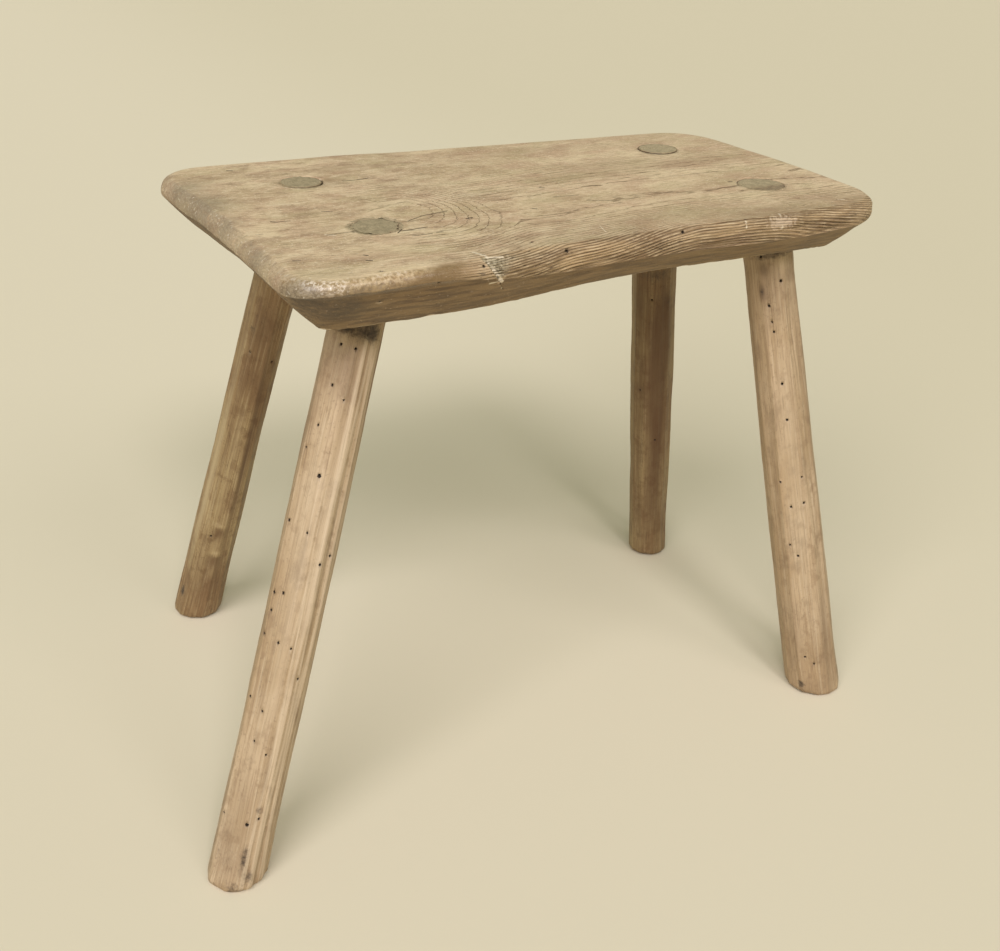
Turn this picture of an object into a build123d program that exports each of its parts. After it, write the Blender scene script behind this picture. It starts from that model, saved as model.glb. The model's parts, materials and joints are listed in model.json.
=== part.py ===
from build123d import *

import os
from math import cos, hypot, sin, tau

# A small country stool: one thick slab seat on four splayed, shaved legs. Each leg is
# one stick. Its upper end is a tapered tenon that passes right through a slanting
# mortise in the seat and ends level with the top. Sizes are in millimetres. X runs
# along the seat, Y from front to back and Z up, and the feet stand on Z = 0. The
# origin is on the floor, under the middle of the whole stool.

# Seat sizes
stool_height = 382.0
seat_length = 410.0
seat_width = 240.0
seat_thickness = 34.0
left_front_corner_radius = 24.0
right_front_corner_radius = 36.0
back_corner_radius = 30.0
underside_corner_radius = 16.0
top_arris_radius = 9.0
bevel_inset = 22.0
bevel_height = 18.0
nose_band = 2.0

# Leg sizes
leg_radius = 17.2
neck_radius = 16.8
neck_drop = 10.0
tenon_root_radius = 16.2
tenon_tip_radius = 15.0
tenon_setback = 0.4
mortise_clearance = 0.2
sole_bevel = 3.0
foot_band = 24.0

# How far every cutting solid runs on past what it cuts
overrun = 30.0

# The seat's plan at its widest level, as shares of its length and width from its middle.
# It is wider at the left end, and its front edge has a shallow waist. The edges were hewn
# in straight cuts, and each run of points goes along one edge from corner to corner.
front_shares = (
    (-0.485, -0.537), (-0.354, -0.537), (-0.178, -0.521), (0.012, -0.492), (0.159, -0.492),
    (0.305, -0.496), (0.501, -0.475)
)
right_shares = ((0.501, -0.475), (0.499, 0.008), (0.473, 0.417))
back_shares = (
    (0.473, 0.417), (0.290, 0.442), (0.056, 0.471), (-0.093, 0.492), (-0.234, 0.527),
    (-0.373, 0.537), (-0.526, 0.533)
)
left_shares = ((-0.526, 0.533), (-0.497, 0.008), (-0.485, -0.537))

# The front edge of the flat underside, as shares of the drawn-in plan
underside_front_shares = (
    (-0.485, -0.561), (-0.396, -0.561), (-0.186, -0.543), (0.014, -0.480), (0.164, -0.454),
    (0.298, -0.469), (0.501, -0.455)
)

# Where each leg's axis meets the seat's top, as shares of the seat's length and width
place_shares = {
    "leg_front_left": (-0.298, -0.217),
    "leg_back_left": (-0.320, 0.246),
    "leg_back_right": (0.332, 0.213),
    "leg_front_right": (0.356, -0.225),
}

# How far each leg's axis moves outward for each unit that it drops: along the seat, then
# across it. No two of the legs splay alike.
splay_shares = {
    "leg_front_left": (-0.340, -0.211),
    "leg_back_left": (-0.184, 0.275),
    "leg_back_right": (0.184, 0.132),
    "leg_front_right": (0.184, -0.164),
}

# Each leg's girth halfway down and at the foot, as shares of the leg radius
girth_shares = {
    "leg_front_left": (1.02, 1.05),
    "leg_back_left": (0.95, 1.09),
    "leg_back_right": (0.98, 0.92),
    "leg_front_right": (1.03, 1.12),
}
halfway_share = 0.5

# Each tenon's girth where it ends on the seat's top, as a share of the tip radius
tip_shares = {
    "leg_front_left": 1.05,
    "leg_back_left": 0.87,
    "leg_back_right": 0.90,
    "leg_front_right": 0.94,
}

# The corners between the long flats that the drawknife left round a leg: where each one
# stands, as a share of a full turn, and how far out, as a share of the leg's radius at
# that height. Each leg starts them at its own turn.
corner_turn_shares = (
    0, 0.072, 0.169, 0.244, 0.339, 0.414, 0.494, 0.592, 0.667, 0.753, 0.844, 0.919
)
corner_reach_shares = (1.02, 1.03, 1.01, 1.03, 1.02, 1.0, 1.03, 1.02, 1.01, 1.03, 1.01, 1.02)
leg_turn_share = 0.086

seat_underside = stool_height - seat_thickness


def on_seat(shares, inset=0):
    """A place on the seat's plan, from its shares of that plan drawn in by an inset."""
    return (shares[0] * (seat_length - 2 * inset), shares[1] * (seat_width - 2 * inset))


def seat_plan(front, inset, left_front_radius, right_front_radius, back_radius):
    """A level's plan: four hewn edges drawn in by an inset, and four round corners."""
    right = (front[-1], *right_shares[1:])
    left = (*left_shares[:-1], front[0])
    runs = [[on_seat(shares, inset) for shares in run] for run in (front, right, back_shares, left)]
    plan = make_face([Polyline(*run) for run in runs])
    radii = (left_front_radius, right_front_radius, back_radius, back_radius)
    for run, radius in zip(runs, radii):
        plan = fillet(plan.vertices().sort_by_distance(run[0])[0], radius)
    return plan


def leg_plane(name):
    """The plane square to a leg where its axis meets the seat's top."""
    along, across = splay_shares[name]
    x, y = on_seat(place_shares[name])
    return Plane(origin=(x, y, stool_height), x_dir=(1, 0, along), z_dir=(-along, -across, 1))


def down_the_leg(name, height):
    """The distance along a leg's axis from the seat's top down to a height."""
    return (stool_height - height) * hypot(1, *splay_shares[name])


def tenon_flare(name):
    """How much a tenon's radius grows over a length as long as the overrun."""
    tip_radius = tip_shares[name] * tenon_tip_radius
    return (tenon_root_radius - tip_radius) / down_the_leg(name, seat_underside) * overrun


def mortise(name):
    """The tapered hole for a leg's tenon, run on past both faces of the seat."""
    root = down_the_leg(name, seat_underside)
    tip = tip_shares[name] * tenon_tip_radius + mortise_clearance - tenon_flare(name)
    low = tenon_root_radius + mortise_clearance + tenon_flare(name)
    section = Polyline(
        (0, 0, overrun), (tip, 0, overrun), (low, 0, -root - overrun), (0, 0, -root - overrun),
        close=True,
    )
    return leg_plane(name) * revolve(make_face(section), Axis.Z)


def make_seat():
    """The slab: a wide bevel below its widest level, and a soft arris round its top."""
    widest = seat_plan(
        front_shares, 0, left_front_corner_radius, right_front_corner_radius, back_corner_radius
    )
    underside = seat_plan(
        underside_front_shares, bevel_inset, underside_corner_radius, underside_corner_radius,
        underside_corner_radius
    )
    rise = min(bevel_height, seat_thickness - top_arris_radius - nose_band)
    low, high = Pos(0, 0, seat_underside), Pos(0, 0, seat_underside + rise)
    slab = loft([low * underside, high * widest], ruled=True)
    slab += high * extrude(widest, seat_thickness - rise)
    slab = fillet(slab.faces().sort_by(Axis.Z)[-1].outer_wire().edges(), top_arris_radius)
    for name in place_shares:
        slab -= mortise(name)
    return slab


def shaved_section(radius, distance, first_turn_share):
    """The many-sided section that the drawknife left a leg, at a distance down its axis."""
    corners = []
    for turn_share, reach_share in zip(corner_turn_shares, corner_reach_shares):
        turn = tau * (turn_share + first_turn_share)
        corners.append((reach_share * radius * cos(turn), reach_share * radius * sin(turn)))
    return Pos(0, 0, -distance) * make_face(Polyline(*corners, close=True))


def make_leg(name, first_turn_share):
    """One shaved leg and its round tenon, cut level at the floor and below the seat's top."""
    root = down_the_leg(name, seat_underside)
    neck = root + neck_drop
    foot = down_the_leg(name, 0)
    ankle = foot - foot_band
    halfway = root + (ankle - root) * halfway_share
    halfway_radius, foot_radius = (share * leg_radius for share in girth_shares[name])
    levels = (
        (neck_radius, neck), (halfway_radius, halfway), (foot_radius, ankle),
        (foot_radius, foot + overrun),
    )
    stick = loft([shaved_section(*level, first_turn_share) for level in levels], ruled=True)
    tip = tip_shares[name] * tenon_tip_radius - tenon_flare(name)
    tenon = Polyline(
        (0, 0, overrun), (tip, 0, overrun), (tenon_root_radius, 0, -root),
        (tenon_root_radius, 0, -neck), (0, 0, -neck),
        close=True,
    )
    stick += revolve(make_face(tenon), Axis.Z)
    room = 2 * stool_height
    leg = leg_plane(name) * stick & extrude(Rectangle(room, room), stool_height - tenon_setback)
    return chamfer(leg.faces().sort_by(Axis.Z)[0].edges(), sole_bevel)


if __name__ == "__main__":
    pieces = {"seat": make_seat()}
    for number, name in enumerate(place_shares):
        pieces[name] = make_leg(name, number * leg_turn_share)
    box = pieces["seat"].bounding_box()
    for piece in pieces.values():
        box = box.add(piece.bounding_box())
    to_middle = Pos(-box.center().X, -box.center().Y, 0)
    os.makedirs("parts", exist_ok=True)
    for name, piece in pieces.items():
        export_step(to_middle * piece, f"parts/{name}.step")
        print(name, round(piece.volume), "cubic mm")
    print("The seat's middle lies at", to_middle.position)
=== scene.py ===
# %% [markdown]
# # A country stool in Blender
# The stool is one thick slab of softwood on four shaved legs. Each leg's upper end passes
# right through the seat and shows on top. This lesson gives every piece its hand-made
# shape, its worn surface and its wood, on top of the plain solids of the CAD model.
#
# The solids come first, because they fix every size.

import json
from math import cos, pi, radians, sin
from types import SimpleNamespace

import bmesh
import bpy
import numpy as np
from mathutils import Matrix, Vector, noise
from mathutils.bvhtree import BVHTree


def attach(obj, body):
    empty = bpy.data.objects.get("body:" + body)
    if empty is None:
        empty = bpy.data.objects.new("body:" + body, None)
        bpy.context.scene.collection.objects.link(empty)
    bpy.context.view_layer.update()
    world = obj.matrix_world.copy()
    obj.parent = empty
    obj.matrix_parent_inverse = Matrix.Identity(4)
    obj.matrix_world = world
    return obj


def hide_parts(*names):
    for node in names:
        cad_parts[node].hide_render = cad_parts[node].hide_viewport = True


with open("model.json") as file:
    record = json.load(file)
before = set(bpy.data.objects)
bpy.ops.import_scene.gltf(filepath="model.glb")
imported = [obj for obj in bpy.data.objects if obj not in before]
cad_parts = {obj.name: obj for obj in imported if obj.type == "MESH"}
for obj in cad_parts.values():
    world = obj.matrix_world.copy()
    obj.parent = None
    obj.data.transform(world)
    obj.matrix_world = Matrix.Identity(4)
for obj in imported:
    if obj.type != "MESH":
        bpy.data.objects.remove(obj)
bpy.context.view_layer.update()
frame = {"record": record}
mounts = {mount["name"]: np.array(mount["pos_m"]) * 1000 for mount in frame["record"]["mounts"]}
seat_middle = mounts["seat_top"]
seat_height = seat_middle[2]
seat_thickness = 34.0
seat_length, seat_width = 410, 240
underside_height = seat_height - seat_thickness
print("the seat's top is at", seat_height, "mm, its middle at", seat_middle[:2].round(2))

# %% [markdown]
# ## The camera
# The camera stands where the photographer's did, and the picture is cut off-centre, so the
# camera has a small sideways shift. It is made first, because some marks on the wood are
# placed by where they stand in the picture.

# %% Camera
scene = bpy.context.scene
scene.view_settings.view_transform = "Standard"


def placed(name, data):
    """A new object in the scene."""
    thing = bpy.data.objects.new(name, data)
    scene.collection.objects.link(thing)
    return thing


picture_width, picture_height = 1000, 951
focal_px = 1205.5
turn, tilt, roll = radians(23.079), radians(28.573), radians(0.446)
camera_place = seat_middle + np.array([-373.76, -680.86, 206.92])

forward = Vector((sin(turn) * cos(tilt), cos(turn) * cos(tilt), -sin(tilt)))
level_right = forward.cross(Vector((0, 0, 1))).normalized()
level_up = level_right.cross(forward)
right = level_right * cos(roll) + level_up * sin(roll)
up = level_up * cos(roll) - level_right * sin(roll)

lens = bpy.data.cameras.new("camera")
lens.sensor_width = 36
lens.lens = focal_px * lens.sensor_width / picture_width
lens.shift_x = 0.0985
lens.clip_end = 100
camera = placed("camera", lens)
camera.matrix_world = Matrix((
    (right.x, up.x, -forward.x, camera_place[0] / 1000),
    (right.y, up.y, -forward.y, camera_place[1] / 1000),
    (right.z, up.z, -forward.z, camera_place[2] / 1000),
    (0, 0, 0, 1),
))
scene.camera = camera


def sight_line(across, down):
    """The direction in which the camera sees a point of the picture."""
    middle = picture_width * (0.5 - lens.shift_x)
    return (forward + right * ((across - middle) / focal_px)
            - up * ((down - picture_height / 2) / focal_px)).normalized()


def seen(tree, middle, across, down):
    """The place and normal where the camera sees a carved piece at a point of the picture."""
    eye = Vector((camera_place - middle).tolist())
    return tree.ray_cast(eye, sight_line(across, down))[:2]


print("lens", round(lens.lens, 2), "mm, camera at", camera_place.round(1))

# %% [markdown]
# ## Tools for carving
# The pieces are carved in the way a sculptor works a dense mesh, but by formula. Bmesh
# operators make a plain closed box or stick of many small faces. Its points are then laid
# on the real shape and moved in and out by noise, grooves and dents. Modifiers with
# textures could do this too, but a formula can also tell the wood's colours where each
# groove lies. All lengths are in millimetres until a piece is finished.

# %% Helpers for dense blocks and noise
def split_along(mesh, direction, cuts):
    """Cuts every edge that runs along one direction into equal parts."""
    direction = Vector(direction)
    along = [e for e in mesh.edges
             if abs((e.verts[1].co - e.verts[0].co).normalized().dot(direction)) > 0.99]
    bmesh.ops.subdivide_edges(mesh, edges=along, cuts=cuts, use_grid_fill=True)


def points_of(mesh):
    return np.array([v.co[:] for v in mesh.verts])


def set_points(mesh, points):
    for vertex, place in zip(mesh.verts, points):
        vertex.co = place


def normals_of(mesh):
    mesh.normal_update()
    return np.array([v.normal[:] for v in mesh.verts])


def centres_of(faces):
    return np.array([f.calc_center_median()[:] for f in faces])


def mesh_from(block, name):
    """Turns a bmesh into a smooth mesh."""
    data = bpy.data.meshes.new(name)
    block.to_mesh(data)
    block.free()
    data.shade_smooth()
    return data


def bumps(points, sizes, seed=0):
    """Smooth noise from -1 to 1 with its own size along each axis, in millimetres."""
    scaled = points / np.array(sizes, dtype=float) + seed * 17.31
    return np.array([noise.noise(p) for p in scaled.tolist()])


def smooth(value, low, high):
    """Rises softly from 0 at low to 1 at high."""
    share = np.clip((value - low) / (high - low), 0, 1)
    return share * share * (3 - 2 * share)


def spot(points, centre, radii):
    """1 at a centre, fading to 0 at its radii."""
    distance = np.sqrt((((points - np.array(centre)) / np.array(radii)) ** 2).sum(axis=1))
    return 1 - smooth(distance, 0, 1)


def picture_spots(tree, middle, points, line, spots):
    """Soft spots of a mark where the camera sees points of the picture.

    Each spot gives its point, its length along the grain, its width and its strength."""
    total = np.zeros(len(points))
    for across, down, long, wide, strength in spots:
        place = seen(tree, middle, across, down)[0]
        if place is None:
            continue
        away = points - np.array(place)
        along = away @ np.array(line)
        side = np.linalg.norm(away - np.outer(along, line), axis=1)
        total += strength * np.exp(-(along / long) ** 2 - (side / wide) ** 2)
    return total


# %% [markdown]
# ## The seat's outline
# The seat is wider at its left end and its front edge has a shallow waist. Each edge was
# hewn by eye, so its line is a run of points with soft bends, and every corner has its own
# round. A curve object could draw it, but an outline kept as numbers can be drawn in by any
# amount. So one outline gives the edge of the flat top, the fullest line of the nose and
# the edge of the underside.

# %% Outline
edge_points = {
    "front": [(-199, -129), (-172, -130), (-145, -130), (-105, -129), (-73, -126), (-29, -121),
              (5, -118.5), (55, -118), (105, -119), (155, -117), (205.5, -113.5)],
    "right": [(205.5, -113.5), (205, -60), (204, 5), (198.5, 60), (194, 100)],
    "back": [(194, 100), (150, 103), (119, 106), (70, 109), (23, 113), (-38, 118), (-96, 126),
             (-153, 129), (-216, 128)],
    "left": [(-216, 128), (-211, 70), (-204, 2), (-201, -70), (-199, -129)],
}
corner_rounds = [26, 34, 32, 32]          # at the start of front, right, back and left
samples = 400
bend_softening = 300
corner_pull = 0.56           # how far a corner's handles reach toward its sharp point


def even(run, count):
    """Points at even steps along a run."""
    length = np.concatenate([[0], np.cumsum(np.hypot(*np.diff(run, axis=0).T))])
    steps = np.linspace(0, length[-1], count)
    return np.stack([np.interp(steps, length, run[:, axis]) for axis in (0, 1)], axis=1)


def soft_run(points):
    """Many points along a run, with its bends softened."""
    run = even(np.array(points, dtype=float), samples)
    for _ in range(bend_softening):
        run[1:-1] = (run[:-2] + run[1:-1] * 2 + run[2:]) / 4
    return run


def rounded_outline():
    """The four edges in order, each from the middle of one round corner to the next."""
    runs = [soft_run(edge_points[name]) for name in ("front", "right", "back", "left")]
    for i, radius in enumerate(corner_rounds):
        before, after = runs[i - 1], runs[i]
        corner = after[0].copy()
        before = before[np.hypot(*(before - corner).T) > radius]
        after = after[np.hypot(*(after - corner).T) > radius]
        share = np.linspace(0, 1, 61)[:, None]
        rest = 1 - share
        start, end = before[-1], after[0]
        pulled_start, pulled_end = (at + (corner - at) * corner_pull for at in (start, end))
        arc = rest ** 3 * start + 3 * rest ** 2 * share * pulled_start \
            + 3 * rest * share * share * pulled_end + share ** 3 * end
        runs[i - 1] = np.concatenate([before, arc[1:31]])
        runs[i] = np.concatenate([arc[30:-1], after])
    return runs


outline = np.concatenate([even(run, samples + 1)[:-1] for run in rounded_outline()])
outline_station = np.arange(len(outline)) / samples
ahead = np.roll(outline, -4, axis=0) - np.roll(outline, 4, axis=0)
inward = np.stack([-ahead[:, 1], ahead[:, 0]], axis=1) / np.hypot(*ahead.T)[:, None]
print("outline from", outline.min(axis=0).round(1), "to", outline.max(axis=0).round(1))

# %% [markdown]
# The nose changes along the front. At the left it is a small polished round with a long
# bevel under it. From the waist to the right it is a tall, steep face, where the weather
# has opened the growth rings. So the widths that draw the outline in change along it too.

# %% Nose and bevel widths along the outline
blur = 40                   # how many outline points a change of width is spread over
front_share = np.where(outline_station < 1, 1, 0) * smooth(-outline[:, 1], 60, 100)


def along_front(values, elsewhere):
    """A width that follows its own values along the front and one value elsewhere."""
    places = (-200, -150, -110, -80, -40, 0, 50, 110, 160, 200)
    front = np.interp(outline[:, 0], places, values)
    mixed = front * front_share + elsewhere * (1 - front_share)
    spread = np.concatenate([mixed[-blur:], mixed, mixed[:blur]])
    return np.convolve(spread, np.ones(blur + 1) / (blur + 1), mode="same")[blur:-blur]


arris_width = along_front((8, 7, 9, 11, 7, 5, 4.5, 4.5, 5.5, 7), 9)
arris_height = along_front((8, 7, 7, 8, 7, 6, 6, 6, 7, 8), 9)
crease_depth = along_front((9, 9, 9, 12.5, 15.5, 15.5, 14.5, 15.5, 15, 12), 12)
bevel_width = along_front((20, 19, 19, 18, 19, 24, 28, 27, 26, 24), 22)
print("the nose is", crease_depth.min().round(1), "to", crease_depth.max().round(1), "mm deep")


def at_station(values, station):
    """A value round the outline at any station from 0 to 4."""
    around = np.concatenate([outline_station, [4]])
    return np.interp(station % 4, around, np.concatenate([values, values[:1]]))


def outline_point(station, inset):
    """The outline drawn in by an inset, at any station."""
    return np.stack([at_station(outline[:, axis], station)
                     + inset * at_station(inward[:, axis], station) for axis in (0, 1)], axis=1)


def filled(along, back, widths):
    """The flat sheet inside a drawn-in outline: a blend of its four edges."""
    along, back = along[:, None], back[:, None]
    def edge(station):
        station = station[:, 0] % 4
        return outline_point(station, at_station(widths, station))
    front, rear = edge(along), edge(3 - along)
    right, left = edge(1 + back), edge(4 - back)
    corners = [edge(np.full_like(along, number)) for number in (0, 1, 2, 3)]
    return ((1 - back) * front + back * rear + (1 - along) * left + along * right
            - (1 - along) * (1 - back) * corners[0] - along * (1 - back) * corners[1]
            - along * back * corners[2] - (1 - along) * back * corners[3])


# %% [markdown]
# ## The seat's block
# The outline could be extruded, but then the faces would be too few and too long to hold
# worn wood. So a cube becomes the slab. Its edges are split along each direction: the top
# and the underside are fine grids and the rim is a stack of rings. Then every point is laid
# on the seat, and its place in the cube says how far along, how far back and how deep it
# goes. The rows are closest together at the front, where the surface has the finest relief.

# %% Lay the cube on the seat
columns, rows, rings_down = ((152, 112, 84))
lip = 1.2                   # how far the nose draws in on its way down
bevel_belly = 0.7           # how far the bevel swells out between its two edges
arris_part, nose_part = 0.30, 0.77      # how far down the rim's rings the arris and nose reach


def seat_block():
    """A cube of many small faces, laid on the seat."""
    block = bmesh.new()
    bmesh.ops.create_cube(block, size=2)
    split_along(block, (0, 0, 1), rings_down - 1)
    split_along(block, (1, 0, 0), columns - 1)
    split_along(block, (0, 1, 0), rows - 1)
    unit = points_of(block)
    along, back, down = (unit[:, 0] + 1) / 2, (unit[:, 1] + 1) / 2, (1 - unit[:, 2]) / 2
    back = 0.45 * back + 0.55 * back ** 2
    place = np.zeros_like(unit)
    top, low = down < 1e-6, down > 1 - 1e-6
    place[top, :2] = filled(along[top], back[top], arris_width)
    place[low, :2] = filled(along[low], back[low], bevel_width)
    place[low, 2] = -seat_thickness
    rim = ~(top | low)
    along, back, down, unit = along[rim], back[rim], down[rim], unit[rim]
    station = np.select([unit[:, 1] < -1 + 1e-6, unit[:, 0] > 1 - 1e-6, unit[:, 1] > 1 - 1e-6],
                        [along, 1 + back, 3 - along], 4 - back)
    arris_in, arris_down, crease, bevel_in = (
        at_station(widths, station) for widths in (arris_width, arris_height, crease_depth, bevel_width))
    quarter = np.clip(down / arris_part, 0, 1) * pi / 2
    nose = np.clip((down - arris_part) / (nose_part - arris_part), 0, 1)
    bevel = np.clip((down - nose_part) / (1 - nose_part), 0, 1)
    inset = arris_in * (1 - np.sin(quarter)) + lip * nose ** 2 + (bevel_in - lip) * bevel \
        - bevel_belly * np.sin(pi * bevel)
    depth = arris_down * (1 - np.cos(quarter)) + (crease - arris_down) * nose \
        + (seat_thickness - crease) * bevel
    place[rim, :2] = outline_point(station, inset)
    place[rim, 2] = -depth
    set_points(block, place)
    return block


seat = seat_block()
print("seat block:", len(seat.verts), "points,", len(seat.faces), "faces")

# %% [markdown]
# ## The legs' lines
# Every leg leans its own way. Its axis starts on the seat's top and ends on the floor, at
# the middle of the sole that the CAD model gives. A cone would be the simplest shape, but a
# leg that was shaved by hand is never a true one, so its girth was read at several heights.

# %% Leg axes and girths
leg_names = ("leg_front_left", "leg_back_left", "leg_back_right", "leg_front_right")


def for_legs(*values):
    """One value for each leg, in the order of their names."""
    return dict(zip(leg_names, values))


top_shares = for_legs((-0.298, -0.217), (-0.320, 0.246), (0.332, 0.213), (0.356, -0.225))
girths = for_legs(      # height above the floor, then the leg's radius there
    ((0, 18.5), (9, 18.4), (99, 17.9), (187, 17.6), (270, 17.3), (323, 16.7), (348, 16.0),
     (382, 14.2)),
    ((0, 18.4), (25, 18.4), (82, 17.9), (136, 17.1), (186, 16.5), (232, 16.1), (300, 16.1),
     (348, 15.9), (382, 13.2)),
    ((0, 15.9), (42, 16.0), (95, 16.4), (143, 16.7), (188, 17.0), (272, 16.7), (348, 16.0),
     (382, 13.7)),
    ((0, 19.3), (44, 19.1), (106, 18.7), (166, 18.2), (222, 17.6), (275, 16.6), (325, 16.0),
     (348, 15.8), (382, 14.7)),
)
axis_top = {name: np.array([along * seat_length, across * seat_width, 0]) + seat_middle
            for name, (along, across) in top_shares.items()}
axis_foot = {name: mounts["sole_" + name[4:]] for name in leg_names}
end_drift = {"leg_front_left": (0.9, 5.4, 0)}     # this tenon's end stands a little further back


def axis_line(name):
    return (axis_top[name] - axis_foot[name]) / np.linalg.norm(axis_top[name] - axis_foot[name])


def axis_at(name, height):
    """The middle of a leg at each height above the floor."""
    straight = axis_foot[name] + np.outer(height / seat_height, axis_top[name] - axis_foot[name])
    return straight + np.outer(smooth(height, 345, seat_height), end_drift.get(name, (0, 0, 0)))


for name in leg_names:
    print(name, "leans", np.degrees(np.arccos(axis_line(name)[2])).round(1), "degrees")


def girth(name, height):
    """A leg's radius at each height above the floor."""
    return np.interp(height, *zip(*girths[name]))


def off_axis(name, points):
    """How far points stand from a leg's axis, square to it."""
    reach = points - axis_at(name, points[:, 2])
    line = axis_line(name)
    return np.linalg.norm(reach - np.outer(reach @ line, line), axis=1)


# %% [markdown]
# ## The mortises
# Each tenon needs a slanting hole right through the seat. A Boolean could cut it, but it
# leaves thin slivers along the rims. Here the faces over the hole are deleted from the top
# and the underside, the two ragged rims are drawn on to the hole's round, and a bridge of
# faces joins them. The back holes are a little wider than their tenons on one side, because
# the wood has shrunk, and that leaves the dark crescents in the photograph; on the seat beside
# those tenons the crescents are painted in as shade too. The front left
# tenon was beaten out of round as it was driven in.

# %% Cut the mortises
hole_room = for_legs(0.15, 0.3, 0.3, 0.12)          # the gap all round the tenon
hole_drift = for_legs((0.1, -0.25), (1.0, -1.0), (-1.0, -1.3), (-0.3, 0.05))   # which way it opened


def out_of_round(name, angle, height):
    """How far a tenon's end is beaten out of round, in millimetres."""
    if name != "leg_front_left":
        return np.zeros_like(angle)
    wave = (0.7 * np.cos(2 * angle + 3.0) + 0.5 * np.sin(3 * angle) + 0.5 * np.sin(7 * angle + 1)
            + 0.45 * np.cos(13 * angle) + 0.3 * np.sin(21 * angle))
    return wave * smooth(height, seat_height - 12, seat_height - 2)


def cut_mortise(block, name):
    drift = np.array([*hole_drift[name], 0])
    rims = []
    for level in (0.0, -seat_thickness):
        flat = [f for f in block.faces if abs(f.calc_center_median().z - level) < 0.01]
        radius = girth(name, seat_height + level) + hole_room[name]
        inside = off_axis(name, centres_of(flat) + seat_middle - drift) < radius
        gone = [f for f, cut in zip(flat, inside) if cut]
        around = {e for f in gone for e in f.edges}
        bmesh.ops.delete(block, geom=gone, context="FACES")
        rim = [e for e in around if e.is_valid and len(e.link_faces) == 1]
        for vertex in {v for e in rim for v in e.verts}:
            place = np.array(vertex.co[:]) + seat_middle - drift
            centre = axis_at(name, place[2:3])[0]
            reach = place - centre
            beaten = out_of_round(name, np.arctan2(reach[1], reach[0]), place[2])
            scale = (radius + beaten) / off_axis(name, place[None, :])[0]
            vertex.co = centre + reach * scale + drift - seat_middle
        rims += rim
    bmesh.ops.bridge_loops(block, edges=rims)


for name in leg_names:
    cut_mortise(seat, name)
bmesh.ops.recalc_face_normals(seat, faces=seat.faces)
print("open edges left in the seat:", sum(not e.is_manifold for e in seat.edges))

# %% [markdown]
# ## Growth rings
# Softwood grows in rings round the tree's pith. This slab was sawn some way below the pith,
# so its rings are long flat arches that sag like a hammock. A picture of wood laid over the
# seat would look printed, because its lines wouldn't follow the worn surface. So one
# formula gives every point its distance from the pith, and the rings are cut as in a real
# slab. Where the pith climbs, the rings make the nested loops near the front left leg.
# Where the nose cuts them steeply, they run along it as close lines that sink towards both
# ends. They are rather under 2 mm apart.
#
# The ring number is kept on the mesh. The carving and the wood's colours both read it, so
# the grooves and the dark lines fall in the same places.

# %% Ring numbers
ring_width = 1.65


def pith(x):
    """How far above the seat's top the pith runs, and its line across the seat."""
    climb = smooth(x, -88, -34)
    return 150 + 12 * climb, -29 - 20 * climb + 12 * smooth(x, -34, 60) + 8 * smooth(-x, 90, 200)


def seat_rings(p):
    x, y, z = p.T
    front = smooth(-y, 72, 118)
    flat = p * (1, 1, 0.5)
    height, pith_y = pith(x)
    height = height + 1.0 * bumps(flat, (110, 36, 60), 1)
    sink = front * (8 * smooth(x, -100, -20) + 7 * smooth(x, -20, 60) - 9 * smooth(x, 85, 190))
    knot = 1.2 * spot(p, (149, -53, 0), (50, 26, 60))
    wander = (0.55 + 0.5 * front) * bumps(flat, (46, 14, 22), 2) \
        + (0.2 + 0.25 * front) * bumps(flat, (12, 5, 7), 3)
    distance = np.hypot(y - pith_y, height - z) + sink + knot + wander
    fat_years = 0.5 * bumps(np.outer(distance, (1, 0, 0)), (4.5, 1, 1), 31)
    return distance / ring_width + fat_years


def ring_gaps(points, normals):
    """The distance between two rings as they lie on the surface, in millimetres."""
    step, here = 0.5, seat_rings(points)
    slope = np.stack([(seat_rings(points + step * way) - here) / step for way in np.eye(3)], axis=1)
    slope -= normals * (slope * normals).sum(axis=1)[:, None]
    return 1 / np.maximum(np.linalg.norm(slope, axis=1), 0.05)


def groove(phase, width=0.16):
    """1 in the bottom of the soft wood between two rings, 0 on the rings."""
    return np.exp(-(((phase % 1) - 0.5) / width) ** 2)


# %% [markdown]
# ## Carving the seat
# The seat is worn in different ways. The top is nearly flat with soft hollows. The left
# part of the nose is polished and dented. From the waist to the right the weather has eaten
# the soft wood between the rings. Where that begins, a flake has torn away, so the faces
# there are split finer first, to hold its sharp edge.
#
# One function says where each kind of wear is. The carving and the wood both ask it.

# %% Zones of wear
def torn_edge(x, z):
    """How far right a point is of the flake's torn edge, which slants down the nose."""
    return x + 0.73 * z + 90


def flake_scar(points):
    """The scar of the flake: deepest at its torn edge, and narrower lower down."""
    x, y, z = points.T
    across = torn_edge(x, z) / np.clip(24 + 1.6 * z, 0.5, 24)
    share = np.where((across > 0) & (across < 1), 1 - across, 0)
    return share * smooth(-z, 0.1, 1.6) * smooth(-y, 106, 112)


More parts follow.
